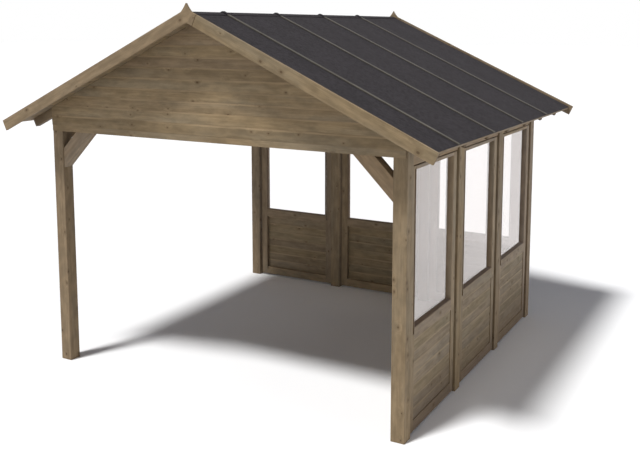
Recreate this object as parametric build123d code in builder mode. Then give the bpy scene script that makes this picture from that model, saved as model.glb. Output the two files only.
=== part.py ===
from build123d import *
from math import cos, radians, sin, tan
import os

# Garden gazebo: four corner posts under a gable roof, open at the front and on the left,
# with half-glazed panels between posts on the right and at the back.
# Millimetres, +Z up, origin on the ground under the middle of the roof, open gable front at -Y.

# Posts and the plan of the frame, measured over the outer faces of the posts
frame_width = 3060
frame_depth = 2935
post_size = 100
post_arris = 4
bay_count = 3

# Heights: the panels above the ground, then what stands on their heads
panel_ground_gap = 15
sill_height = 732
wall_head_height = 1828
head_rail_depth = 64
eaves_rise = 108

# Beams and braces
beam_thickness = 70
cross_beam_depth = 110
brace_angle = 45
brace_reach = 294
brace_width = 110
brace_thickness = 84

# Roof build-up, square to the slope, and the overhangs along the rafters' underside
roof_pitch = 25
rafter_width = 45
rafter_depth = 65
rafter_tail = 190
ridge_thickness = 28
ridge_depth = 110
deck_thickness = 18
felt_thickness = 3
batten_thickness = 8
batten_width = 28
batten_count = 4
batten_pitch = 714
batten_first_inset = 416
ridge_strip_thickness = 3
ridge_strip_reach = 40
eave_overhang = 227
verge_overhang = 240

# Barge boards with the pointed finial on the left-hand board of each gable
barge_thickness = 20
barge_width = 84
barge_upstand = 18
barge_overhang = 252
barge_seam_run = 38
finial_half_width = 44
finial_rise = 40
finial_bow = 2

# Gable cladding and the plain board along its foot
cladding_thickness = 16
cladding_inset = 10
base_board_height = 47
base_board_thickness = 12

# Half-glazed wall panels
panel_recess = 14
panel_thickness = 56
stile_width = 78
stile_rebate_width = 16
stile_rebate_depth = 14
pane_groove_width = 24
pane_groove_depth = 14
pane_groove_drop = 40
top_rail_height = 26
middle_rail_height = 78
bottom_rail_height = 75
boarding_thickness = 14
boarding_recess = 5
pane_setback = 44
glass_thickness = 4
lining_width = 6
bead_width = 12
bead_setback = 2

half_width = frame_width / 2
half_depth = frame_depth / 2
lintel_height = wall_head_height + head_rail_depth
eaves_height = lintel_height + eaves_rise
slope = tan(radians(roof_pitch))
pitch_sin = sin(radians(roof_pitch))
pitch_cos = cos(radians(roof_pitch))
deck_lift = rafter_depth + deck_thickness
felt_lift = deck_lift + felt_thickness
batten_lift = felt_lift + batten_thickness
barge_lift = felt_lift + barge_upstand
barge_foot_lift = barge_lift - barge_width
verge_face = half_depth + verge_overhang
deck_end = verge_face - barge_thickness
inner_half_width = half_width - post_size
inner_half_depth = half_depth - post_size
side_bay_pitch = (frame_depth - post_size) / bay_count
back_bay_pitch = (frame_width - post_size) / bay_count
beam_setback = (post_size - beam_thickness) / 2


def plumb_point(x, lift):
    """Point at x on the line that lies lift above the rafters' underside, square to the slope."""
    return (x, eaves_height + (half_width - abs(x)) * slope + lift / pitch_cos)


def square_point(run, lift):
    """Point reached from the rafters' underside at x = run by going lift square to the right-hand slope."""
    foot_x, foot_z = plumb_point(run, 0)
    return (foot_x + lift * pitch_sin, foot_z + lift * pitch_cos)


def mirrored(points):
    """The same outline on the other side of the ridge."""
    return [(-x, z) for x, z in reversed(points)]


def cross_section(y):
    """Plane across the building at y; what is extruded from it runs towards the front."""
    return Plane.XZ.offset(-y)


def bar_along_y(points, y_front, y_back):
    """Bar of one outline in the X-Z plane, from y_front to y_back."""
    with BuildPart() as bar:
        with BuildSketch(cross_section(y_back)):
            with BuildLine():
                Polyline(*points, close=True)
            make_face()
        extrude(amount=y_back - y_front)
    return bar


def post(points, y_front, y_back):
    """Square post with its upright arrises rounded."""
    with BuildPart() as upright:
        add(bar_along_y(points, y_front, y_back).part)
        fillet(upright.edges().filter_by(Axis.Z), radius=post_arris)
    return upright


def save(piece, name):
    """Label a finished piece and write it to its own file."""
    piece.part.label = name
    export_step(piece.part, "parts/" + name + ".step")


def save_set(bars, name):
    """Gather like pieces that do not touch and write them as one node."""
    with BuildPart() as gathered:
        for bar in bars:
            add(bar.part)
    save(gathered, name)


def side_outlines(right_outline):
    """The outline of a piece on the right of the ridge, and its mirror image on the left."""
    return {"right": right_outline, "left": mirrored(right_outline)}


os.makedirs("parts", exist_ok=True)

# Corner posts and the right wall's middle posts, with tops cut to the slope of the rafters
side_post_outline = [
    (inner_half_width, 0),
    (half_width, 0),
    plumb_point(half_width, 0),
    plumb_point(inner_half_width, 0),
]
for side, outline in side_outlines(side_post_outline).items():
    save(post(outline, -half_depth, -inner_half_depth), "front_" + side + "_post")
    save(post(outline, inner_half_depth, half_depth), "back_" + side + "_post")

for bay in range(1, bay_count):
    front_face = -half_depth + bay * side_bay_pitch
    middle_post = post(side_post_outline, front_face, front_face + post_size)
    save(middle_post, f"right_middle_post_{bay}")

# Middle posts of the back wall, standing under the back beam
for bay in range(1, bay_count):
    left_face = -half_width + bay * back_bay_pitch
    middle_outline = [
        (left_face, 0),
        (left_face + post_size, 0),
        (left_face + post_size, lintel_height),
        (left_face, lintel_height),
    ]
    middle_post = post(middle_outline, inner_half_depth, half_depth)
    save(middle_post, f"back_middle_post_{bay}")

# Eaves beams between the side posts, bevelled under the rafters
beam_outer = half_width - beam_setback
beam_inner = beam_outer - beam_thickness
eaves_beam_outline = [
    (beam_inner, wall_head_height),
    (beam_outer, wall_head_height),
    plumb_point(beam_outer, 0),
    plumb_point(beam_inner, 0),
]
save(bar_along_y(mirrored(eaves_beam_outline), -inner_half_depth, inner_half_depth), "left_eaves_beam")
right_beams = []
for bay in range(bay_count):
    bay_start = -inner_half_depth + bay * side_bay_pitch
    bay_end = bay_start + side_bay_pitch - post_size
    right_beams.append(bar_along_y(eaves_beam_outline, bay_start, bay_end))
save_set(right_beams, "right_eaves_beams")

# Cross beams between the corner posts, under the foot of each gable
cross_beam_outline = [
    (-inner_half_width, lintel_height),
    (inner_half_width, lintel_height),
    (inner_half_width, lintel_height + cross_beam_depth),
    (-inner_half_width, lintel_height + cross_beam_depth),
]
beam_face = half_depth - beam_setback
save(bar_along_y(cross_beam_outline, -beam_face, -beam_face + beam_thickness), "front_beam")
save(bar_along_y(cross_beam_outline, beam_face - beam_thickness, beam_face), "back_beam")

# Head rails that close the back wall between its panels and the back beam
head_rails = []
for bay in range(bay_count):
    rail_left = -inner_half_width + bay * back_bay_pitch
    rail_right = rail_left + back_bay_pitch - post_size
    head_rail_outline = [
        (rail_left, wall_head_height),
        (rail_right, wall_head_height),
        (rail_right, lintel_height),
        (rail_left, lintel_height),
    ]
    head_rails.append(bar_along_y(head_rail_outline, beam_face - beam_thickness, beam_face))
save_set(head_rails, "back_head_rails")

# Knee braces between the front posts and the front beam
brace_cut = brace_width / cos(radians(brace_angle))
brace_front = -half_depth + (post_size - brace_thickness) / 2
brace_outline = [
    (inner_half_width, lintel_height - brace_reach),
    (inner_half_width, lintel_height - brace_reach + brace_cut),
    (inner_half_width - brace_reach + brace_cut, lintel_height),
    (inner_half_width - brace_reach, lintel_height),
]
for side, outline in side_outlines(brace_outline).items():
    save(bar_along_y(outline, brace_front, brace_front + brace_thickness), "front_" + side + "_brace")

# Rafters at half the bay pitch, plumb cut at the ridge board and square cut at the tail
rafter_count = 2 * bay_count + 1
rafter_pitch = (frame_depth - rafter_width) / (rafter_count - 1)
rafter_tip = half_width + rafter_tail
rafter_outline = [
    plumb_point(ridge_thickness / 2, 0),
    plumb_point(rafter_tip, 0),
    square_point(rafter_tip, rafter_depth),
    plumb_point(ridge_thickness / 2, rafter_depth),
]
for side, outline in side_outlines(rafter_outline).items():
    rafters = []
    for row in range(rafter_count):
        rafter_face = -half_depth + row * rafter_pitch
        rafters.append(bar_along_y(outline, rafter_face, rafter_face + rafter_width))
    save_set(rafters, side + "_rafters")

# Ridge board between the rafters, with its top bevelled both ways under the deck
ridge_foot = plumb_point(0, rafter_depth)[1] - ridge_depth
ridge_outline = [
    (-ridge_thickness / 2, ridge_foot),
    (ridge_thickness / 2, ridge_foot),
    plumb_point(ridge_thickness / 2, rafter_depth),
    plumb_point(0, rafter_depth),
    plumb_point(-ridge_thickness / 2, rafter_depth),
]
save(bar_along_y(ridge_outline, -half_depth, half_depth), "ridge_board")

# Roof deck, felt and battens: sheets that meet on the ridge line and end square at the eave
eave_run = half_width + eave_overhang


def slope_sheet(low_lift, high_lift):
    """Outline of a sheet on the right-hand slope between two lifts above the rafters' underside."""
    return [
        plumb_point(0, low_lift),
        square_point(eave_run, low_lift),
        square_point(eave_run, high_lift),
        plumb_point(0, high_lift),
    ]


for side, outline in side_outlines(slope_sheet(rafter_depth, deck_lift)).items():
    save(bar_along_y(outline, -deck_end, deck_end), side + "_roof_deck")
for side, outline in side_outlines(slope_sheet(deck_lift, felt_lift)).items():
    save(bar_along_y(outline, -deck_end, deck_end), side + "_roof_felt")
batten_faces = []
for row in range(batten_count):
    batten_middle = -deck_end + batten_first_inset + row * batten_pitch
    batten_faces.append(batten_middle - batten_width / 2)
for side, outline in side_outlines(slope_sheet(felt_lift, batten_lift)).items():
    battens = [bar_along_y(outline, face, face + batten_width) for face in batten_faces]
    save_set(battens, side + "_roof_battens")


# Felt strip along the ridge, folded up over each pair of battens
def ridge_saddle(low_lift, high_lift):
    """Outline of a saddle over the ridge between two lifts, reaching down both slopes."""
    foot_x, foot_z = plumb_point(ridge_strip_reach, felt_lift)
    rises = (low_lift - felt_lift, high_lift - felt_lift)
    right_end = [(foot_x + rise * pitch_sin, foot_z + rise * pitch_cos) for rise in rises]
    return [plumb_point(0, low_lift), *right_end, plumb_point(0, high_lift), *mirrored(right_end)]


with BuildPart() as ridge_strip:
    add(bar_along_y(ridge_saddle(felt_lift, felt_lift + ridge_strip_thickness), -deck_end, deck_end).part)
    for face in batten_faces:
        fold = ridge_saddle(felt_lift, batten_lift + ridge_strip_thickness)
        fold_front = face - ridge_strip_thickness
        fold_back = face + batten_width + ridge_strip_thickness
        add(bar_along_y(fold, fold_front, fold_back).part)
        under_fold = bar_along_y(ridge_saddle(felt_lift, batten_lift), face, face + batten_width)
        add(under_fold.part, mode=Mode.SUBTRACT)
save(ridge_strip, "ridge_felt_strip")


# Barge boards: the left-hand board carries the pointed finial past the ridge,
# and the right-hand board butts against it with a square end
def finial_side(direction):
    """Foot, slightly hollow middle and tip of one side of the finial."""
    foot = plumb_point(direction * finial_half_width, barge_lift)
    tip = (0, plumb_point(0, barge_lift)[1] + finial_rise)
    middle = ((foot[0] + tip[0]) / 2 - direction * finial_bow, (foot[1] + tip[1]) / 2 - finial_bow)
    return foot, middle, tip


def barge_pair(y_front, gable):
    """The two boards of one gable, as seen from the front."""
    end_run = half_width + barge_overhang
    right_foot, right_middle, tip = finial_side(1)
    left_foot, left_middle, tip = finial_side(-1)
    seam_foot = square_point(barge_seam_run, barge_foot_lift)
    seam_head = square_point(barge_seam_run, barge_lift)
    right_tail = [square_point(end_run, barge_lift), square_point(end_run, barge_foot_lift)]
    left_tail = mirrored(right_tail)
    with BuildPart() as left_board:
        with BuildSketch(cross_section(y_front + barge_thickness)):
            with BuildLine():
                Polyline(left_foot, left_tail[1], left_tail[0], plumb_point(0, barge_foot_lift), seam_foot)
                Polyline(seam_foot, seam_head, right_foot)
                ThreePointArc(right_foot, right_middle, tip)
                ThreePointArc(tip, left_middle, left_foot)
            make_face()
        extrude(amount=barge_thickness)
    save(left_board, gable + "_left_barge_board")
    right_outline = [seam_foot, seam_head, *right_tail]
    right_board = bar_along_y(right_outline, y_front, y_front + barge_thickness)
    save(right_board, gable + "_right_barge_board")


barge_pair(-verge_face, "front")
barge_pair(deck_end, "back")

# Gable cladding in front of the end rafters, over a plain base board,
# both stopping just short of the corner posts' outer faces
cladding_foot = lintel_height + base_board_height
cladding_reach = half_width - cladding_inset
cladding_outline = [
    (-cladding_reach, cladding_foot),
    (cladding_reach, cladding_foot),
    plumb_point(cladding_reach, rafter_depth),
    plumb_point(0, rafter_depth),
    plumb_point(-cladding_reach, rafter_depth),
]
base_board_outline = [
    (-cladding_reach, lintel_height),
    (cladding_reach, lintel_height),
    (cladding_reach, cladding_foot),
    (-cladding_reach, cladding_foot),
]
cladding_face = half_depth + cladding_thickness
base_board_face = half_depth + base_board_thickness
save(bar_along_y(cladding_outline, -cladding_face, -half_depth), "front_gable_cladding")
save(bar_along_y(cladding_outline, half_depth, cladding_face), "back_gable_cladding")
save(bar_along_y(base_board_outline, -base_board_face, -half_depth), "front_gable_base_board")
save(bar_along_y(base_board_outline, half_depth, base_board_face), "back_gable_base_board")

# Levels shared by all the wall panels
boarding_foot = panel_ground_gap + bottom_rail_height
boarding_head = sill_height - middle_rail_height
window_head = wall_head_height - top_rail_height
rail_levels = [
    (panel_ground_gap, boarding_foot),
    (boarding_head, sill_height),
    (window_head, wall_head_height),
]


def block(plan, left, right, low, high, near, far):
    """Block in a wall: left to right along it, low to high, near to far into the building."""
    with BuildPart() as piece:
        with BuildSketch(plan.offset(low)):
            with BuildLine():
                Polyline((left, near), (right, near), (right, far), (left, far), close=True)
            make_face()
        extrude(amount=high - low)
    return piece


def stile(plan, post_edge, inward, near, far, grooved):
    """Stile rebated beside its post; inward, 1 or -1, is the way along the wall to the window."""
    tongue_near = near + stile_rebate_depth
    tongue_far = far - stile_rebate_depth
    shoulder = post_edge + inward * stile_rebate_width
    window_edge = post_edge + inward * stile_width
    groove_edge = window_edge - inward * pane_groove_width
    groove_levels = (sill_height - pane_groove_drop, window_head)
    levels = (panel_ground_gap, wall_head_height)
    with BuildPart() as upright:
        add(block(plan, shoulder, window_edge, *levels, near, far).part)
        add(block(plan, post_edge, shoulder, *levels, tongue_near, tongue_far).part)
        if grooved:
            for face, floor in ((near, near + pane_groove_depth), (far - pane_groove_depth, far)):
                groove = block(plan, groove_edge, window_edge, *groove_levels, face, floor)
                add(groove.part, mode=Mode.SUBTRACT)
    return upright


def window_ring(plan, left, right, near, far, width):
    """Ring of strips of one width around a pane, standing in the window opening."""
    pane_side = (left + width, right - width, sill_height + width, window_head - width)
    with BuildPart() as ring:
        add(block(plan, left, right, sill_height, window_head, near, far).part)
        add(block(plan, *pane_side, near, far).part, mode=Mode.SUBTRACT)
    return ring


def wall_panels(plan, wall_start, bay_pitch, wall):
    """The panels of one wall; its plan has the posts' outer faces at zero depth, seen from outside."""
    stiles, rails, boarding, beads, panes = [], [], [], [], []
    frame_near = panel_recess
    frame_far = panel_recess + panel_thickness
    board_near = frame_near + boarding_recess
    board_far = board_near + boarding_thickness
    pane_near = frame_near + pane_setback
    pane_far = pane_near + glass_thickness
    for bay in range(bay_count):
        left = wall_start + bay * bay_pitch
        right = left + bay_pitch - post_size
        inner_left = left + stile_width
        inner_right = right - stile_width
        stiles.append(stile(plan, left, 1, frame_near, frame_far, True))
        stiles.append(stile(plan, right, -1, frame_near, frame_far, False))
        for low, high in rail_levels:
            rails.append(block(plan, inner_left, inner_right, low, high, frame_near, frame_far))
        boards = block(plan, inner_left, inner_right, boarding_foot, boarding_head, board_near, board_far)
        boarding.append(boards)
        panes.append(block(plan, inner_left, inner_right, sill_height, window_head, pane_near, pane_far))
        opening = (plan, inner_left, inner_right)
        beads.append(window_ring(*opening, frame_near + bead_setback, pane_near, lining_width))
        beads.append(window_ring(*opening, pane_far, frame_far - bead_setback, bead_width))
    save_set(stiles, wall + "_panel_stiles")
    save_set(rails, wall + "_panel_rails")
    save_set(boarding, wall + "_panel_boarding")
    save_set(panes, wall + "_window_glass")
    save_set(beads, wall + "_glazing_beads")


# Along the right wall from front to back, and along the back wall from right to left
right_wall_plan = Plane(origin=(half_width, 0, 0), x_dir=(0, 1, 0), z_dir=(0, 0, 1))
back_wall_plan = Plane(origin=(0, half_depth, 0), x_dir=(-1, 0, 0), z_dir=(0, 0, 1))
wall_panels(right_wall_plan, -inner_half_depth, side_bay_pitch, "right")
wall_panels(back_wall_plan, -inner_half_width, back_bay_pitch, "back")
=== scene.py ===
import math
import random

import bmesh
import bpy
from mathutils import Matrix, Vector, noise


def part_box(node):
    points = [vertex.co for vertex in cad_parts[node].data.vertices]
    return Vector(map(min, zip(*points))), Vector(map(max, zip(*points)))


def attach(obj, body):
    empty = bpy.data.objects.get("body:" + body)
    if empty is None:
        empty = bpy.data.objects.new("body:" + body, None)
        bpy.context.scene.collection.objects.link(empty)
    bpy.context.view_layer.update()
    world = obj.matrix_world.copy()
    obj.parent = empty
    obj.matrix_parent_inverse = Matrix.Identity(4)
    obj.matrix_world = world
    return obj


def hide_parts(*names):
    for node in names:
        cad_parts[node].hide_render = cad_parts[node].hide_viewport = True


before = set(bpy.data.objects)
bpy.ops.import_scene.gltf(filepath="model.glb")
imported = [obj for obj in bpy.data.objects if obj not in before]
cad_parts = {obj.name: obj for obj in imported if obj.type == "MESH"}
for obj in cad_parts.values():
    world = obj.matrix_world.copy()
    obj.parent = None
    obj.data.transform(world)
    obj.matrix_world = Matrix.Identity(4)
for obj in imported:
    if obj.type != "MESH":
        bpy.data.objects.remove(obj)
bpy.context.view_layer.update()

# Looks of the garden gazebo: timbers with eased edges, matched boards, felt and glass.
# Metres, in the frame of the solids: +Z up, open gable front at -Y.

SEED = 1873
FRONT = Vector((0, -1, 0))
BACK = Vector((0, 1, 0))
RIGHT = Vector((1, 0, 0))
UP = Vector((0, 0, 1))

# Directions down the two slopes of the roof, and away from their faces
ROOF_PITCH = math.radians(25)
PITCH_SIN = math.sin(ROOF_PITCH)
PITCH_COS = math.cos(ROOF_PITCH)
SLOPES = {
    "right": Vector((PITCH_COS, 0, -PITCH_SIN)),
    "left": Vector((-PITCH_COS, 0, -PITCH_SIN)),
}
SLOPE_FACES = {
    "right": Vector((PITCH_SIN, 0, PITCH_COS)),
    "left": Vector((-PITCH_SIN, 0, PITCH_COS)),
}

# Cleaning of the copied solids
WELD_DISTANCE = 0.00002
FLAT_ANGLE = math.radians(0.5)
SHARP_ANGLE = math.radians(25)

# Cosine past which two directions count as one
ALIGNED_COSINE = 0.8

# Eased edges of the sawn timbers
POST_EASE = 0.003
TIMBER_EASE = 0.0025
BARGE_EASE = 0.002
THIN_EASE = 0.0012
STRIP_EASE = 0.0006
EASE_SEGMENTS = 2
EASE_ROUNDNESS = 0.5

# Place of each timber in its tree: how far along the trunk, and how far aside of the pith
TRUNK_RANGE = (0, 60)
ASIDE_RANGE = (-0.12, 0.12)

# Gap where the right-hand barge boards butt against the left-hand ones
BARGE_JOINT_GAP = 0.004

# Length of the rafter tails that get painted shade under the eaves
TAIL_SHADE_LENGTH = 0.25

# Fall of the wall panels' heads towards the outside, which leaves a shadow line under the beam
PANEL_HEAD_FALL = 0.0075

# Matched boards of the gables, panels and roof deck
BOARD_COVER = 0.080
BOARD_CROWN = 0.0008
BOARD_HEAD_RUN = 0.013
BOARD_HEAD_DEPTH = 0.0012
BOARD_FOOT_RUN = 0.020
BOARD_FOOT_DEPTH = 0.0018
CROWN_STEPS = 6
DECK_COVER = 0.118
DECK_THICKNESS = 0.018

# Upward part of the normals of board faces that get a painted highlight on their heads, and its strength
HEAD_TILT = (0.07, 0.6)
HEAD_HIGHLIGHT = 1.7

# Linings of the window openings and glazing beads, as width and chamfer
LINING = (0.006, 0.002)
BEAD = (0.012, 0.003)

# Sides of a window, counted round it from the sill, and the upright ones among them
WINDOW_SIDES = 4
JAMBS = (1, 3)

# Felt sheets
FELT_CELL = 0.045
FELT_THICKNESS = 0.003
FELT_RIPPLE = 0.0012
FELT_RIPPLE_SIZE = 0.22

# Colours of the timbers and the felt, as they show on a screen
POST_COLOUR = (130, 112, 87)
FRAME_COLOUR = (140, 119, 92)
ROOF_COLOUR = (126, 108, 82)
BATTEN_COLOUR = (77, 73, 66)
BARGE_COLOUR = (131, 113, 87)
CLADDING_COLOUR = (134, 115, 88)
PANEL_COLOUR = (138, 122, 100)
BOARDING_COLOUR = (134, 119, 96)
BEAD_COLOUR = (134, 117, 96)
FELT_COLOUR = (46, 43, 45)

# Strength of the finer detail in noise, where a mark doesn't state its own
NOISE_ROUGHNESS = 0.55

# Tones of a timber, as shares of its own colour; the weathered grey is a share of its green
PALE_WOOD = (1.32, 1.32, 1.32)
DEEP_WOOD = (0.62, 0.58, 0.52)
HEART_WOOD = (0.30, 0.22, 0.16)
GREY_WOOD = (0.98, 0.95, 0.80)

# Figure of the wood: repeats in a metre along and across the grain, and steps of finer detail
STREAKS = (3.2, 42, 4)
FIBRES = (9, 420, 2)
DRIFTS = (1.1, 5, 3)
BLOTCHES = (9, 22, 3)
RING_PITCH = 0.0065
RING_WANDER = 0.05

# Knots: cells in a metre along and across the grain, and share of the cells that hold a knot
KNOT_ALONG, KNOT_ACROSS = 4.2, 6.0
KNOT_CHANCE = 0.7

# Sizes of knots, in cells, and their dark edge and the ring round them, in radii of the knot
KNOT_RADII = (0.023, 0.0575)
KNOT_EDGE = (0.55, 1.1)
KNOT_RING = (0.9, 2.6)

# Reach of a knot into the grain that flows round it, in cells, and how far it pushes the grain
KNOT_REACH = 0.26
KNOT_PUSH = 0.022

# Part of each mark's range over which it comes up
STREAK_SPAN = (0.28, 0.72)
DRIFT_SPAN = (0.4, 0.75)
RING_SPAN = (-0.3, 1.0)
FIBRE_SPAN = (0.5, 0.8)
BLOTCH_SPAN = (0.3, 0.7)
WEAR_HIGHLIGHT_SPAN = (0.3, 0.7)
ROUGHNESS_SPAN = (0.2, 0.8)

# Share of each mark that shows
STREAK_SHARE = 0.34
DRIFT_SHARE = 0.35
RING_SHARE = 0.16
FIBRE_SHARE = 0.2
KNOT_SHARE = 0.75
KNOT_RING_SHARE = 0.55
WEAR_HIGHLIGHT_SHARES = (0.1, 0.6)
CUT_END_SHARE = 0.45
SHADE_MARK_SHARE = 0.6

# Lightness of blotches and blueness of single timbers
BLOTCH_LEVELS = (0.86, 1.12)
BLUE_LEVELS = (0.95, 1.05)

# Painted shade in corners, found by ambient occlusion, and on ledges
CORNER_SHADE_REACH = 0.05
CORNER_SHADE_SAMPLES = 6
CORNER_SHADE_SPAN = (0.15, 0.75)
LEDGE_SHADE_SPAN = (0.3, 0.9)

# Closed walls: facing that counts as outside, painted shade by height towards the ground, and painted shade
# with a warmer tint indoors
OUTSIDE_SPAN = (0.4, 0.6)
FOOT_SHADE_HEIGHTS = (-0.15, 0.55)
FOOT_SHADE_SHARE = 0.7
INDOOR_SHADE_TINT = (0.89, 0.84, 0.76, 1)

# Relief and gloss of the wood
FIBRE_RELIEF = 0.35
STREAK_RELIEF = 0.5
RING_RELIEF = 0.25
KNOT_RELIEF = 0.4
WOOD_BUMP_STRENGTH = 0.5
WOOD_BUMP_DEPTH = 0.0012
WOOD_ROUGHNESS = (0.78, 0.6)
WOOD_SPECULAR = 0.3

# Tones of the felt, as shares of its own colour
DARK_FELT = (0.62, 0.62, 0.62)
PALE_FELT = (1.5, 1.5, 1.55)

# Marks of the felt: repeats in a metre, steps of finer detail and their strength
GRIT = (420, 2, 0.7)
FLECKS = (34, 2, 0.6)
MOTTLE = (5.5, 4, 0.6)
RUN_ALONG, RUN_ACROSS = 0.9, 9
RUN_DETAIL = 3

# Part of each felt mark's range over which it comes up, towards pale or towards dark
MOTTLE_SPAN = (0.25, 0.75)
RUN_SPAN = (0.45, 0.8)
PALE_FLECK_SPAN = (0.48, 0.66)
DARK_FLECK_SPAN = (0.5, 0.34)
PALE_GRIT_SPAN = (0.5, 0.75)
DARK_GRIT_SPAN = (0.5, 0.3)

# Share of each felt mark that shows
MOTTLE_SHARE = 0.35
RUN_SHARE = 0.25
PALE_FLECK_SHARE = 0.45
DARK_FLECK_SHARE = 0.75
GRIT_SHARE = 0.5

# Relief and gloss of the felt
MOTTLE_RELIEF = 0.8
FELT_BUMP_STRENGTH = 0.6
FELT_BUMP_DEPTH = 0.0015
FELT_ROUGH_SPAN = (0.3, 0.7)
FELT_ROUGHNESS = (0.95, 0.75)
FELT_SPECULAR = 0.1

# Glass: how the glancing angle is read, and the power of it by which the mirroring grows
GLASS_BLEND = 0.5
GLASS_GLANCE = 2.7
GLASS_CLEAR = (0.99, 0.985, 0.98, 1)
GLASS_SHINE = (0.94, 0.9, 0.885, 1)
GLASS_ROUGHNESS = 0.02

# Floor and light, with the ways that the lamps' light travels and the angles that they fill
WHITE = (1, 1, 1, 1)
FLOOR_SIZE = 120
FLOOR_BOUNCE = (0.85, 0.85, 0.85, 1)
SUN_TRAVEL = Vector((0.20, 0.47, -1))
SUN_STRENGTH = 3.05
SUN_WIDTH = math.radians(10)
FILL_TRAVEL = Vector((-1, -0.1, -0.04))
FILL_STRENGTH = 1.38
FRONT_TRAVEL = Vector((0, 1, -0.08))
FRONT_STRENGTH = 0.59
FILL_WIDTH = math.radians(60)
AMBIENT = 0.125
AMBIENT_TINT = (0.95, 0.97, 1.12, 1)

# Camera of the photograph's view: angles in radians, lens and sensor in millimetres, shift in pixels
CAMERA_PLACE = Vector((3.627, -6.375, 2.706))
CAMERA_YAW = 0.5070
CAMERA_DIP = 0.1283
CAMERA_LENS = 48.32
CAMERA_SENSOR = 36
PICTURE_WIDTH = 640
PICTURE_SHIFT = -90

draw = random.Random(SEED)


# Shapes
def cad_copy(node):
    """The node's mesh, welded and with its flat faces whole, as a copy to work on."""
    shape = bmesh.new()
    shape.from_mesh(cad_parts[node].data)
    bmesh.ops.remove_doubles(shape, verts=shape.verts, dist=WELD_DISTANCE)
    bmesh.ops.dissolve_limit(
        shape, angle_limit=FLAT_ANGLE, verts=shape.verts, edges=shape.edges, use_dissolve_boundaries=False
    )
    return shape


def everything(shape):
    """All vertices, edges and faces of a shape."""
    return shape.verts[:] + shape.edges[:] + shape.faces[:]


def islands(shape):
    """The groups of joined vertices, one for each timber or board."""
    seen = set()
    groups = []
    for first in shape.verts:
        if first in seen:
            continue
        group = [first]
        seen.add(first)
        for vertex in group:
            for edge in vertex.link_edges:
                other = edge.other_vert(vertex)
                if other not in seen:
                    seen.add(other)
                    group.append(other)
        groups.append(group)
    return groups


def box_of(vertices):
    """Lowest and highest corner of some vertices."""
    low = Vector([min(vertex.co[axis] for vertex in vertices) for axis in range(3)])
    high = Vector([max(vertex.co[axis] for vertex in vertices) for axis in range(3)])
    return low, high


def boxes_of(node):
    """Lowest and highest corners of a node's separate pieces."""
    source = cad_copy(node)
    boxes = [box_of(group) for group in islands(source)]
    source.free()
    return boxes


def longest_axis(size):
    """Unit vector along the longest side of a box."""
    axis = max(range(3), key=lambda index: size[index])
    return Vector([1.0 if index == axis else 0.0 for index in range(3)])


def wall_run(out):
    """Direction along a wall that faces out."""
    return BACK if abs(out.x) > 0 else RIGHT


def ease_edges(shape, width):
    """Round the sharp edges over and mark the new faces as worn."""
    wear_and_highlight = shape.faces.layers.float.new("wear_and_highlight")
    sharp = [edge for edge in shape.edges if edge.is_manifold and edge.calc_face_angle() > SHARP_ANGLE]
    rounded = bmesh.ops.bevel(
        shape,
        geom=sharp,
        offset=width,
        segments=EASE_SEGMENTS,
        profile=EASE_ROUNDNESS,
        affect="EDGES",
        clamp_overlap=True,
    )
    for face in rounded["faces"]:
        face[wear_and_highlight] = 1.0


def mark_grain(shape, direction=None):
    """Give each timber its own grain coordinates along, across and through, and its own character."""
    grain = shape.verts.layers.float_vector.new("grain")
    board = shape.verts.layers.float_vector.new("board")
    end = shape.faces.layers.float.new("end")
    shape.normal_update()
    for group in islands(shape):
        low, high = box_of(group)
        along = direction or longest_axis(high - low)
        across = along.cross(BACK) if abs(along.y) < ALIGNED_COSINE else along.cross(UP)
        across.normalize()
        through = along.cross(across)
        middle = (low + high) / 2
        pith = Vector((draw.uniform(*TRUNK_RANGE), draw.uniform(*ASIDE_RANGE), draw.uniform(*ASIDE_RANGE)))
        character = Vector((draw.random(), draw.random(), draw.random()))
        for vertex in group:
            reach = vertex.co - middle
            vertex[grain] = Vector((reach.dot(along), reach.dot(across), reach.dot(through))) + pith
            vertex[board] = character
            for face in vertex.link_faces:
                face[end] = 1.0 if abs(face.normal.dot(along)) > ALIGNED_COSINE else 0.0


def new_object(name, data):
    """An object in the scene."""
    made = bpy.data.objects.new(name, data)
    bpy.context.scene.collection.objects.link(made)
    return made


def add_piece(shape, name, node, material):
    """Make a finished piece that stands for one node and rides on the frame."""
    mesh = bpy.data.meshes.new(name)
    shape.to_mesh(mesh)
    shape.free()
    mesh.materials.append(material)
    piece = new_object(name, mesh)
    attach(piece, "root")
    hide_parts(node)
    return piece


def keep_off_glass(piece):
    """Leave a piece out of what the panes mirror, so that they show the pale surroundings."""
    piece.visible_glossy = False


def eased_piece(shape, node, material, ease, direction=None):
    """Turn the solid of a node's timbers into the piece with eased edges and grain."""
    ease_edges(shape, ease)
    mark_grain(shape, direction)
    return add_piece(shape, node + "_timber", node, material)


def timber_piece(node, material, ease, direction=None):
    """A node's timbers with eased edges and grain, as the solids have them."""
    return eased_piece(cad_copy(node), node, material, ease, direction)


def barge_board(node, down, material):
    """A barge board; the right-hand ones stop just short of the board that they butt against."""
    shape = cad_copy(node)
    if down.x > 0:
        head = min(vertex.co.dot(down) for vertex in shape.verts)
        for vertex in shape.verts:
            if vertex.co.dot(down) < head + BARGE_JOINT_GAP:
                vertex.co += down * BARGE_JOINT_GAP
    eased_piece(shape, node, material, BARGE_EASE, down)


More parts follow.
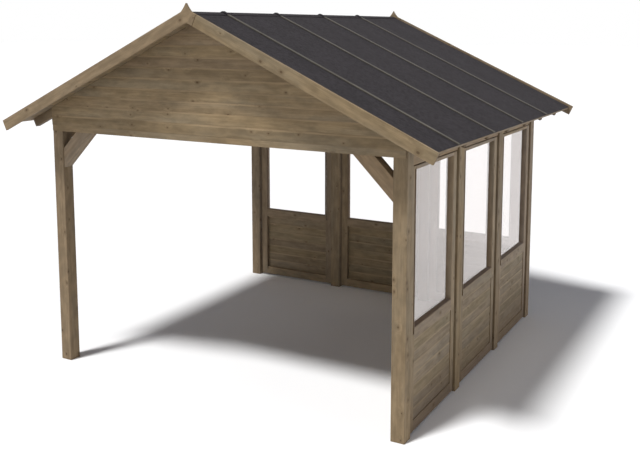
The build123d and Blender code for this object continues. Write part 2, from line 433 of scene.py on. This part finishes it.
def rafters(side, material):
    """Rafters of one slope, with painted shade that grows from the walls to the tips of their tails."""
    node = side + "_rafters"
    down = SLOPES[side]
    shape = cad_copy(node)
    ease_edges(shape, TIMBER_EASE)
    tip = max(vertex.co.dot(down) for vertex in shape.verts)
    tail_start = down * (tip - TAIL_SHADE_LENGTH)
    bmesh.ops.bisect_plane(
        shape, geom=everything(shape), plane_co=tail_start, plane_no=down, dist=WELD_DISTANCE
    )
    # Painted shade: the shade mark rises from 0 where the tail starts to 1 at its tip
    shade_mark = shape.verts.layers.float.new("shade_mark")
    for vertex in shape.verts:
        vertex[shade_mark] = max(0.0, 1 - (tip - vertex.co.dot(down)) / TAIL_SHADE_LENGTH)
    mark_grain(shape, down)
    add_piece(shape, node + "_timber", node, material)


def panel_frame(node, out, material, direction=None):
    """Stiles or rails of one wall's panels, with heads that fall towards the outside."""
    shape = cad_copy(node)
    low, high = box_of(shape.verts)
    inner, outer = sorted((low.dot(out), high.dot(out)))
    for vertex in shape.verts:
        if vertex.co.z > high.z - WELD_DISTANCE:
            vertex.co.z -= PANEL_HEAD_FALL * (vertex.co.dot(out) - inner) / (outer - inner)
    keep_off_glass(eased_piece(shape, node, material, THIN_EASE, direction))


def prism(shape, section, origin, out, up, run):
    """Bar along run whose section is points of (out, up) from its origin."""
    starts = [shape.verts.new(origin + out * depth + up * height) for depth, height in section]
    ends = [shape.verts.new(vertex.co + run) for vertex in starts]
    count = len(section)
    shape.faces.new(starts)
    shape.faces.new(list(reversed(ends)))
    for index in range(count):
        after = (index + 1) % count
        shape.faces.new((starts[after], starts[index], ends[index], ends[after]))


def board_face(height, depth):
    """Face of a matched board from its foot to its head: long fall at the foot, short one at the head."""
    edge_depth = depth - BOARD_CROWN
    points = [(edge_depth - BOARD_FOOT_DEPTH, 0)]
    for step in range(CROWN_STEPS + 1):
        share = step / CROWN_STEPS
        rise = BOARD_FOOT_RUN + share * (height - BOARD_FOOT_RUN - BOARD_HEAD_RUN)
        points.append((depth - BOARD_CROWN * (2 * share - 1) ** 2, rise))
    points.append((edge_depth - BOARD_HEAD_DEPTH, height))
    return points


def one_faced_board(height, depth):
    """Section of a board with a plain back."""
    return board_face(height, depth) + [(0, height), (0, 0)]


def two_faced_board(height, depth):
    """Section of a board that shows on both faces."""
    near_face = board_face(height, depth)
    far_face = [(depth - out, rise) for out, rise in reversed(near_face)]
    return near_face + far_face


def cut_away(shape, point, normal):
    """Cut a shape along a plane, drop what lies on the normal's side and close the cut."""
    cut = bmesh.ops.bisect_plane(
        shape, geom=everything(shape), plane_co=point, plane_no=normal, clear_outer=True, dist=WELD_DISTANCE
    )
    rim = [item for item in cut["geom_cut"] if isinstance(item, bmesh.types.BMEdge)]
    if rim:
        bmesh.ops.edgeloop_fill(shape, edges=rim)


def gable_boards(node, out, material):
    """Boards across a gable, cut to both slopes."""
    low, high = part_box(node)
    depth = high.y - low.y
    back_plane = high.y if out.y < 0 else low.y
    shape = bmesh.new()
    for row in range(math.ceil((high.z - low.z) / BOARD_COVER)):
        origin = Vector((low.x, back_plane, low.z + row * BOARD_COVER))
        run = RIGHT * (high.x - low.x)
        prism(shape, one_faced_board(BOARD_COVER, depth), origin, out, UP, run)
    apex = Vector((0, back_plane, high.z))
    for slope_face in SLOPE_FACES.values():
        cut_away(shape, apex, slope_face)
    made_piece(shape, node, material, RIGHT)


def panel_boards(node, out, material):
    """Boards in the lower part of each panel of one wall, with two good faces."""
    along = wall_run(out)
    shape = bmesh.new()
    for low, high in boxes_of(node):
        size = high - low
        count = round(size.z / BOARD_COVER)
        height = size.z / count
        section = two_faced_board(height, abs(size.dot(out)))
        for row in range(count):
            origin = low + UP * (row * height)
            prism(shape, section, origin, out, UP, along * size.dot(along))
    made_piece(shape, node, material)


def deck_boards(side, material):
    """Boards of one roof slope, running along the building with their good faces down."""
    node = side + "_roof_deck"
    low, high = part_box(node)
    down = SLOPES[side]
    slope_length = max(abs(low.x), abs(high.x)) / PITCH_COS
    count = round(slope_length / DECK_COVER)
    width = slope_length / count
    shape = bmesh.new()
    for row in range(count):
        # The first board starts past the ridge, where the cut below trims it plumb
        start = row * width if row else -DECK_THICKNESS
        origin = Vector((0, low.y, high.z)) + down * start
        section = one_faced_board(width * (row + 1) - start, DECK_THICKNESS)
        prism(shape, section, origin, -SLOPE_FACES[side], down, BACK * (high.y - low.y))
    towards_other_slope = Vector((-math.copysign(1, down.x), 0, 0))
    cut_away(shape, Vector((0, 0, 0)), towards_other_slope)
    made_piece(shape, node, material, BACK)


def made_piece(shape, node, material, direction=None):
    """Turn boards or beads made here into the piece that stands for their node."""
    wear_and_highlight = shape.faces.layers.float.new("wear_and_highlight")
    bmesh.ops.recalc_face_normals(shape, faces=shape.faces)
    shape.normal_update()
    lowest, highest = HEAD_TILT
    # Painted highlight: board faces tilted up get the pale tone along each joint
    for face in shape.faces:
        if lowest < face.normal.z < highest:
            face[wear_and_highlight] = HEAD_HIGHLIGHT
    mark_grain(shape, direction)
    return add_piece(shape, node + "_boards", node, material)


def glazing_beads(node, out, material):
    """Mitred strips round the panes of one wall: linings outside with painted shade on their jambs, fading
    out from the pane, and beads inside with painted shade all over.
    """
    rings = boxes_of(node)
    depths = sorted(low.dot(out) for low, high in rings)
    wall_middle = (depths[0] + depths[-1]) / 2
    shape = bmesh.new()
    shade_mark = shape.verts.layers.float.new("shade_mark")
    for low, high in rings:
        size = high - low
        faces_out = low.dot(out) > wall_middle
        depth = abs(size.dot(out))
        width, chamfer = LINING if faces_out else BEAD
        section = [(0, 0), (width, 0), (width, depth - chamfer), (width - chamfer, depth), (0, depth)]
        for side in range(WINDOW_SIDES):
            rows = bead_bar(shape, low, size, out, section, side, faces_out)
            # Painted shade: all of each inner bead, and the jambs of the outer linings from the pane
            # outwards
            shade_painted = []
            if not faces_out:
                shade_painted = sum(rows, [])
            elif side in JAMBS:
                shade_painted = rows[0] + rows[1]
            for vertex in shade_painted:
                vertex[shade_mark] = 1.0
    keep_off_glass(made_piece(shape, node, material))


def bead_bar(shape, low, size, out, section, side, faces_out):
    """One of the four bars of a bead ring, with a mitre at each end; its section starts at the pane."""
    along = wall_run(out)
    width = size.dot(along)
    depth = abs(size.dot(out))
    rows = []
    for inset, lift in section:
        corners = [
            (inset, inset),
            (width - inset, inset),
            (width - inset, size.z - inset),
            (inset, size.z - inset),
        ]
        level = lift if faces_out else depth - lift
        ends = (corners[side], corners[(side + 1) % WINDOW_SIDES])
        rows.append([shape.verts.new(low + along * u + UP * v + out * level) for u, v in ends])
    count = len(rows)
    shape.faces.new([row[0] for row in rows])
    shape.faces.new([row[1] for row in reversed(rows)])
    for index in range(count):
        after = (index + 1) % count
        shape.faces.new((rows[after][0], rows[index][0], rows[index][1], rows[after][1]))
    return rows


def felt_sheet(side, material):
    """Felt of one slope: a thin sheet that ripples a little within its thickness."""
    node = side + "_roof_felt"
    low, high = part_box(node)
    down = SLOPES[side]
    outward = SLOPE_FACES[side]
    slope_length = max(abs(low.x), abs(high.x)) / PITCH_COS
    rows = round(slope_length / FELT_CELL)
    columns = round((high.y - low.y) / FELT_CELL)
    ridge = Vector((0, 0, high.z))
    ridge_cut = FELT_THICKNESS * math.tan(ROOF_PITCH)
    shape = bmesh.new()
    top = []
    bottom = []
    for row in range(rows + 1):
        reach = slope_length * row / rows
        top_line = []
        bottom_line = []
        for column in range(columns + 1):
            place = Vector((0, low.y + (high.y - low.y) * column / columns, 0))
            at_edge = row in (0, rows) or column in (0, columns)
            spot = ridge + down * reach + place
            dip = 0 if at_edge else FELT_RIPPLE * (noise.noise(spot / FELT_RIPPLE_SIZE) + 1) / 2
            top_line.append(shape.verts.new(spot - outward * dip))
            under = ridge + down * max(reach, ridge_cut) + place
            bottom_line.append(shape.verts.new(under - outward * FELT_THICKNESS))
        top.append(top_line)
        bottom.append(bottom_line)
    fill_grid(shape, top)
    fill_grid(shape, bottom)
    close_rim(shape, rim_of(top), rim_of(bottom))
    bmesh.ops.recalc_face_normals(shape, faces=shape.faces)
    for face in shape.faces:
        face.smooth = abs(face.normal.dot(outward)) > ALIGNED_COSINE
    for edge in shape.edges:
        edge.smooth = edge.calc_face_angle() < SHARP_ANGLE
    add_piece(shape, node + "_sheet", node, material)


def fill_grid(shape, grid):
    """Faces between the vertices of a grid."""
    for upper, lower in zip(grid, grid[1:]):
        for column in range(len(upper) - 1):
            shape.faces.new((upper[column], upper[column + 1], lower[column + 1], lower[column]))


def rim_of(grid):
    """The outer vertices of a grid, in order round it."""
    return (
        grid[0][:-1]
        + [row[-1] for row in grid[:-1]]
        + list(reversed(grid[-1][1:]))
        + [row[0] for row in reversed(grid[1:])]
    )


def close_rim(shape, upper, lower):
    """Close the edge between the upper and the lower rim of a sheet."""
    count = len(upper)
    for index in range(count):
        after = (index + 1) % count
        shape.faces.new((upper[index], upper[after], lower[after], lower[index]))


# Materials
def srgb(red, green, blue):
    """Linear colour of one written as it shows on a screen, 0 to 255."""
    def linear(value):
        share = value / 255
        return share / 12.92 if share <= 0.04045 else ((share + 0.055) / 1.055) ** 2.4
    return (linear(red), linear(green), linear(blue), 1)


def tinted(colour, shares):
    """A colour with its red, green and blue each taken by a share."""
    return tuple(value * share for value, share in zip(colour, shares)) + (1,)


class Shader:
    """Short hand for building the nodes of a material or world."""

    def __init__(self, owner):
        self.owner = owner
        owner.use_nodes = True
        self.tree = owner.node_tree
        self.tree.nodes.clear()

    def node(self, kind, inputs=(), **settings):
        """A node with its settings, and its inputs as pairs of socket and value or link."""
        made = self.tree.nodes.new("ShaderNode" + kind)
        for name, value in settings.items():
            setattr(made, name, value)
        for socket, value in inputs:
            self.feed(made.inputs[socket], value)
        return made

    def feed(self, socket, value):
        """Link a socket to another, or set its value."""
        if isinstance(value, bpy.types.NodeSocket):
            self.tree.links.new(value, socket)
        else:
            socket.default_value = value

    def work_out(self, operation, first, second=0.0):
        """One step of arithmetic."""
        return self.node("Math", ((0, first), (1, second)), operation=operation).outputs[0]

    def times(self, first, second):
        """Two values multiplied."""
        return self.work_out("MULTIPLY", first, second)

    def fit(self, value, low, high, to_low=0.0, to_high=1.0):
        """A value's place between low and high, smoothly, as a value between two others."""
        inputs = ((0, value), (1, low), (2, high), (3, to_low), (4, to_high))
        return self.node("MapRange", inputs, interpolation_type="SMOOTHSTEP").outputs[0]

    def mix(self, factor, first, second, blend="MIX"):
        """Mix two colours."""
        inputs = ((0, factor), (6, first), (7, second))
        return self.node("Mix", inputs, data_type="RGBA", blend_type=blend).outputs[2]

    def stain(self, surface, mark, share, tone):
        """Mix a share of a tone into a surface where a mark is."""
        return self.mix(self.times(mark, share), surface, tone)

    def join(self, x, y, z):
        """A vector from three values."""
        return self.node("CombineXYZ", ((0, x), (1, y), (2, z))).outputs[0]

    def split(self, vector):
        """The three values of a vector."""
        return self.node("SeparateXYZ", ((0, vector),)).outputs[:3]

    def kept_value(self, name):
        """A value kept on the mesh."""
        return self.node("Attribute", attribute_name=name).outputs["Fac"]

    def kept_vector(self, name):
        """The three values of a vector kept on the mesh."""
        return self.split(self.node("Attribute", attribute_name=name).outputs["Vector"])

    def cloud(self, vector, scale, detail, roughness=NOISE_ROUGHNESS):
        """Noise from 0 to 1."""
        inputs = (("Vector", vector), ("Scale", scale), ("Detail", detail), ("Roughness", roughness))
        return self.node("TexNoise", inputs).outputs[0]

    def bump(self, height, strength, distance):
        """A normal bent by a height."""
        inputs = (("Strength", strength), ("Distance", distance), ("Height", height))
        return self.node("Bump", inputs).outputs[0]

    def seen_directly(self):
        """1 for rays from the camera, off glossy surfaces or through glass, and 0 for light on things."""
        path = self.node("LightPath").outputs
        direct = self.work_out("MAXIMUM", path["Is Camera Ray"], path["Is Glossy Ray"])
        return self.work_out("MAXIMUM", direct, path["Is Transmission Ray"])

    def finish(self, shader, output="OutputMaterial"):
        """Show a shader's result."""
        self.node(output, (("Surface", shader.outputs[0]),))
        return self.owner


class Timber(Shader):
    """Weathered sawn softwood, as the marks of its grain and layers of colour."""

    def __init__(self, name, colour, knots):
        super().__init__(bpy.data.materials.new(name))
        self.base = srgb(*colour)
        self.pale = tinted(self.base, PALE_WOOD)
        self.deep = tinted(self.base, DEEP_WOOD)
        self.heart = tinted(self.base, HEART_WOOD)
        green = self.base[1]
        self.grey = tinted((green, green, green), GREY_WOOD)
        self.along, self.across, self.through = self.kept_vector("grain")
        self.knot, self.knot_ring, push = self.knot_marks(knots)
        self.side = self.work_out("ADD", self.across, push)
        self.depth = self.work_out("ADD", self.through, push)
        self.streak = self.figure(*STREAKS)
        self.fibre = self.figure(*FIBRES)
        self.drift = self.figure(*DRIFTS)
        self.blotch = self.figure(*BLOTCHES)
        self.ring = self.ring_mark()

    def knot_marks(self, knots):
        """Knots strewn over the faces, the rings round them, and their push on the grain."""
        face_line = self.work_out("ADD", self.across, self.through)
        spots = self.join(self.times(self.along, KNOT_ALONG), self.times(face_line, KNOT_ACROSS), 0.0)
        inputs = (("Vector", spots), ("Scale", 1.0))
        cells = self.node("TexVoronoi", inputs, voronoi_dimensions="2D", feature="F1").outputs
        kind, size, _ = self.split(cells["Color"])
        present = self.work_out("LESS_THAN", kind, KNOT_CHANCE * knots)
        radius = self.fit(size, 0, 1, *KNOT_RADII)
        radii_away = self.work_out("DIVIDE", cells["Distance"], radius)
        knot = self.times(present, self.fit(radii_away, *KNOT_EDGE, 1, 0))
        knot_ring = self.times(present, self.fit(radii_away, *KNOT_RING, 1, 0))
        halo = self.times(present, self.fit(cells["Distance"], 0, KNOT_REACH, 1, 0))
        return knot, knot_ring, self.times(halo, KNOT_PUSH)

    def figure(self, repeats_along, repeats_across, detail):
        """Noise drawn out along the grain."""
        place = self.join(
            self.times(self.along, repeats_along),
            self.times(self.side, repeats_across),
            self.times(self.depth, repeats_across),
        )
        return self.cloud(place, 1, detail)

    def ring_mark(self):
        """Yearly rings round the pith, which wander a little."""
        aside = self.join(0.0, self.side, self.depth)
        reach = self.node("VectorMath", ((0, aside),), operation="LENGTH").outputs["Value"]
        wandering = self.work_out("ADD", reach, self.times(self.drift, RING_WANDER))
        turn = self.times(wandering, 2 * math.pi / RING_PITCH)
        return self.fit(self.work_out("SINE", turn), *RING_SPAN)

    def figured(self):
        """Colour of the clean wood with its streaks, greyed stretches, rings and fibres."""
        streaked = self.mix(self.fit(self.streak, *STREAK_SPAN), self.deep, self.pale)
        surface = self.mix(STREAK_SHARE, self.base, streaked)
        surface = self.stain(surface, self.fit(self.drift, *DRIFT_SPAN), DRIFT_SHARE, self.grey)
        surface = self.stain(surface, self.ring, RING_SHARE, self.deep)
        return self.stain(surface, self.fit(self.fibre, *FIBRE_SPAN), FIBRE_SHARE, self.deep)

    def toned(self, surface, spread):
        """Each timber's own lightness and warmth, with soft blotches."""
        tone, warmth, _ = self.kept_vector("board")
        level = self.fit(tone, 0, 1, 1 - spread, 1 + spread)
        level = self.times(level, self.fit(self.blotch, *BLOTCH_SPAN, *BLOTCH_LEVELS))
        blue = self.times(level, self.fit(warmth, 0, 1, *BLUE_LEVELS))
        return self.mix(1.0, surface, self.join(level, level, blue), "MULTIPLY")

    def knotted(self, surface):
        """Knots and the darker rings round them."""
        surface = self.stain(surface, self.knot_ring, KNOT_RING_SHARE, self.deep)
        return self.stain(surface, self.knot, KNOT_SHARE, self.heart)

    def worn_and_highlit(self, surface):
        """Pale patches on worn edges, painted highlights on the up-tilted heads of boards, and dark cut
        ends.
        """
        patchy = self.fit(self.streak, *WEAR_HIGHLIGHT_SPAN, *WEAR_HIGHLIGHT_SHARES)
        surface = self.stain(surface, self.kept_value("wear_and_highlight"), patchy, self.pale)
        return self.stain(surface, self.kept_value("end"), CUT_END_SHARE, self.deep)

    def shade_painted(self, surface, corner_shade):
        """Painted shade in corners, found by ambient occlusion, and where the mesh carries a shade mark."""
        # Painted shade: corners that ambient occlusion finds turn towards the heart tone
        corner = self.node("AmbientOcclusion", (("Distance", CORNER_SHADE_REACH),), samples=CORNER_SHADE_SAMPLES)
        surface = self.mix(self.fit(corner.outputs["AO"], *CORNER_SHADE_SPAN, corner_shade, 0.0), surface, self.heart)
        # Painted shade where the mesh carries the shade mark: rafter tails and window beads
        return self.stain(surface, self.kept_value("shade_mark"), SHADE_MARK_SHARE, self.heart)

    def ledge_shaded(self, surface, ledge_shade):
        """Painted shade on faces turned up, such as the sills in the window recesses."""
        rise = self.split(self.node("NewGeometry").outputs["True Normal"])[2]
        return self.mix(self.fit(rise, *LEDGE_SHADE_SPAN, 0.0, ledge_shade), surface, self.heart)

    def walls_shaded(self, surface):
        """Closed walls: painted shade with a warmer tint indoors, and painted shade outdoors, most at the
        ground.
        """
        geometry = self.node("NewGeometry").outputs
        facing_x, facing_y, _ = self.split(geometry["True Normal"])
        outside = self.fit(self.work_out("MAXIMUM", facing_x, facing_y), *OUTSIDE_SPAN)
        # Painted shade: the inner faces of the walls are darker and warmer
        shaded_indoors = self.mix(1.0, surface, INDOOR_SHADE_TINT, "MULTIPLY")
        surface = self.mix(outside, shaded_indoors, surface)
        # Painted shade: the outer faces darken towards the ground
        height = self.split(geometry["Position"])[2]
        foot_shade = self.fit(height, *FOOT_SHADE_HEIGHTS, FOOT_SHADE_SHARE, 0.0)
        return self.stain(surface, outside, foot_shade, self.heart)

    def relief(self):
        """Normal of the fine ridges and hollows along the grain."""
        fibres = self.times(self.fibre, FIBRE_RELIEF)
        height = self.work_out("ADD", fibres, self.times(self.streak, STREAK_RELIEF))
        height = self.work_out("SUBTRACT", height, self.times(self.ring, RING_RELIEF))
        height = self.work_out("SUBTRACT", height, self.times(self.knot, KNOT_RELIEF))
        return self.bump(height, WOOD_BUMP_STRENGTH, WOOD_BUMP_DEPTH)


def timber(name, colour, knots=1.0, spread=0.06, corner_shade=0.4, ledge_shade=0.0, walls=False):
    """A wood with more or fewer knots, spread of tone, painted shade in corners, and optional painted shade
    on ledges and on closed walls.
    """
    wood = Timber(name, colour, knots)
    surface = wood.toned(wood.figured(), spread)
    surface = wood.worn_and_highlit(wood.knotted(surface))
    surface = wood.shade_painted(surface, corner_shade)
    if ledge_shade:
        surface = wood.ledge_shaded(surface, ledge_shade)
    if walls:
        surface = wood.walls_shaded(surface)
    return wood.finish(wood.node("BsdfPrincipled", (
        ("Base Color", surface),
        ("Roughness", wood.fit(wood.streak, *ROUGHNESS_SPAN, *WOOD_ROUGHNESS)),
        ("Specular IOR Level", WOOD_SPECULAR),
        ("Normal", wood.relief()),
    )))


def felt(name):
    """Mineral felt: dark bitumen with fine grit, flecks, cloudy mottling and faint runs down the slope."""
    shader = Shader(bpy.data.materials.new(name))
    place = shader.node("NewGeometry").outputs["Position"]
    x, y, _ = shader.split(place)
    grit = shader.cloud(place, *GRIT)
    fleck = shader.cloud(place, *FLECKS)
    mottle = shader.cloud(place, *MOTTLE)
    run_place = shader.join(shader.times(x, RUN_ALONG), shader.times(y, RUN_ACROSS), 0.0)
    runs = shader.cloud(run_place, 1, RUN_DETAIL)
    base = srgb(*FELT_COLOUR)
    dark = tinted(base, DARK_FELT)
    pale = tinted(base, PALE_FELT)
    mottled = shader.mix(shader.fit(mottle, *MOTTLE_SPAN), dark, pale)
    surface = shader.mix(MOTTLE_SHARE, base, mottled)
    surface = shader.stain(surface, shader.fit(runs, *RUN_SPAN), RUN_SHARE, pale)
    surface = shader.stain(surface, shader.fit(fleck, *PALE_FLECK_SPAN), PALE_FLECK_SHARE, pale)
    surface = shader.stain(surface, shader.fit(fleck, *DARK_FLECK_SPAN), DARK_FLECK_SHARE, dark)
    surface = shader.stain(surface, shader.fit(grit, *PALE_GRIT_SPAN), GRIT_SHARE, pale)
    surface = shader.stain(surface, shader.fit(grit, *DARK_GRIT_SPAN), GRIT_SHARE, dark)
    height = shader.work_out("ADD", grit, shader.times(mottle, MOTTLE_RELIEF))
    return shader.finish(shader.node("BsdfPrincipled", (
        ("Base Color", surface),
        ("Roughness", shader.fit(grit, *FELT_ROUGH_SPAN, *FELT_ROUGHNESS)),
        ("Specular IOR Level", FELT_SPECULAR),
        ("Normal", shader.bump(height, FELT_BUMP_STRENGTH, FELT_BUMP_DEPTH)),
    )))


def glass(name):
    """Clear sheet glass: it shows what is behind it and mirrors more at a glancing angle."""
    shader = Shader(bpy.data.materials.new(name))
    facing = shader.node("LayerWeight", (("Blend", GLASS_BLEND),)).outputs["Facing"]
    mirror = shader.work_out("POWER", facing, GLASS_GLANCE)
    clear = shader.node("BsdfTransparent", (("Color", GLASS_CLEAR),))
    shine = shader.node("BsdfGlossy", (("Color", GLASS_SHINE), ("Roughness", GLASS_ROUGHNESS)))
    pane = shader.node("MixShader", ((0, mirror), (1, clear.outputs[0]), (2, shine.outputs[0])))
    return shader.finish(pane)


# Floor, light and camera
def make_floor():
    """Plain white floor that keeps the object's shadow."""
    shape = bmesh.new()
    bmesh.ops.create_grid(shape, x_segments=1, y_segments=1, size=FLOOR_SIZE)
    mesh = bpy.data.meshes.new("floor")
    shape.to_mesh(mesh)
    shape.free()
    shader = Shader(bpy.data.materials.new("floor_white"))
    colour = shader.mix(shader.seen_directly(), FLOOR_BOUNCE, WHITE)
    mesh.materials.append(shader.finish(shader.node("BsdfDiffuse", (("Color", colour),))))
    new_object("floor", mesh)


def make_sun(name, travel, strength, width):
    """A lamp whose light travels one way, with soft edged shadows."""
    lamp = bpy.data.lights.new(name, "SUN")
    lamp.energy = strength
    lamp.angle = width
    holder = new_object(name, lamp)
    holder.rotation_mode = "QUATERNION"
    holder.rotation_quaternion = travel.to_track_quat("-Z", "Y")


def make_world():
    """Even light on the object, with a white background."""
    shader = Shader(bpy.data.worlds.new("studio"))
    seen = shader.seen_directly()
    colour = shader.mix(seen, AMBIENT_TINT, WHITE)
    strength = shader.fit(seen, 0, 1, AMBIENT, 1)
    sky = shader.node("Background", (("Color", colour), ("Strength", strength)))
    bpy.context.scene.world = shader.finish(sky, "OutputWorld")


def make_camera():
    """Camera at the photograph's viewing angle."""
    lens = bpy.data.cameras.new("camera")
    lens.lens = CAMERA_LENS
    lens.sensor_width = CAMERA_SENSOR
    lens.shift_y = PICTURE_SHIFT / PICTURE_WIDTH
    camera = new_object("camera", lens)
    camera.location = CAMERA_PLACE
    camera.rotation_euler = (math.pi / 2 - CAMERA_DIP, 0, CAMERA_YAW)
    bpy.context.scene.camera = camera


# Woods, felt and glass
post_wood = timber("post_wood", POST_COLOUR, knots=1.4)
frame_wood = timber("frame_wood", FRAME_COLOUR, knots=1.4)
roof_wood = timber("roof_wood", ROOF_COLOUR)
batten_wood = timber("batten_wood", BATTEN_COLOUR, knots=0.4)
barge_wood = timber("barge_wood", BARGE_COLOUR, knots=1.4, spread=0.04, corner_shade=0.15)
cladding_wood = timber("cladding_wood", CLADDING_COLOUR, knots=1.3, spread=0.1, corner_shade=0.1)
panel_wood = timber("panel_wood", PANEL_COLOUR, walls=True)
boarding_wood = timber("boarding_wood", BOARDING_COLOUR, spread=0.08, corner_shade=0.1, walls=True)
# Window beads: painted shade in corners and on their sills
bead_wood = timber("bead_wood", BEAD_COLOUR, knots=0.3, ledge_shade=1.0)
roof_felt = felt("mineral_felt")
window_glass = glass("clear_glass")

# Posts, beams and braces
POSTS = [
    "front_left_post", "front_right_post", "back_left_post", "back_right_post",
    "right_middle_post_1", "right_middle_post_2", "back_middle_post_1", "back_middle_post_2",
]
for node in POSTS:
    keep_off_glass(timber_piece(node, post_wood, POST_EASE, UP))
for node in ("front_beam", "back_beam", "left_eaves_beam", "right_eaves_beams", "back_head_rails"):
    timber_piece(node, frame_wood, TIMBER_EASE)
for side, lean in (("left", -1), ("right", 1)):
    brace_run = Vector((lean, 0, -1)).normalized()
    timber_piece(f"front_{side}_brace", frame_wood, TIMBER_EASE, brace_run)

# Roof
for side in SLOPES:
    rafters(side, roof_wood)
    deck_boards(side, roof_wood)
    felt_sheet(side, roof_felt)
    timber_piece(side + "_roof_battens", batten_wood, THIN_EASE, SLOPES[side])
timber_piece("ridge_board", roof_wood, TIMBER_EASE, BACK)
timber_piece("ridge_felt_strip", roof_felt, STRIP_EASE, BACK)

# Gables
for end, out in (("front", FRONT), ("back", BACK)):
    gable_boards(end + "_gable_cladding", out, cladding_wood)
    timber_piece(end + "_gable_base_board", cladding_wood, THIN_EASE, RIGHT)
    for side in SLOPES:
        barge_board(f"{end}_{side}_barge_board", SLOPES[side], barge_wood)

# Wall panels
for wall, out in (("right", RIGHT), ("back", BACK)):
    panel_frame(wall + "_panel_stiles", out, panel_wood, UP)
    panel_frame(wall + "_panel_rails", out, panel_wood)
    panel_boards(wall + "_panel_boarding", out, boarding_wood)
    glazing_beads(wall + "_glazing_beads", out, bead_wood)
    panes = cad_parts[wall + "_window_glass"]
    panes.data.materials.clear()
    panes.data.materials.append(window_glass)

# Surroundings
make_floor()
make_sun("sun", SUN_TRAVEL, SUN_STRENGTH, SUN_WIDTH)
make_sun("side_fill", FILL_TRAVEL, FILL_STRENGTH, FILL_WIDTH)
make_sun("front_fill", FRONT_TRAVEL, FRONT_STRENGTH, FILL_WIDTH)
make_world()
make_camera()
bpy.context.scene.view_settings.view_transform = "Standard"

bpy.context.view_layer.update()
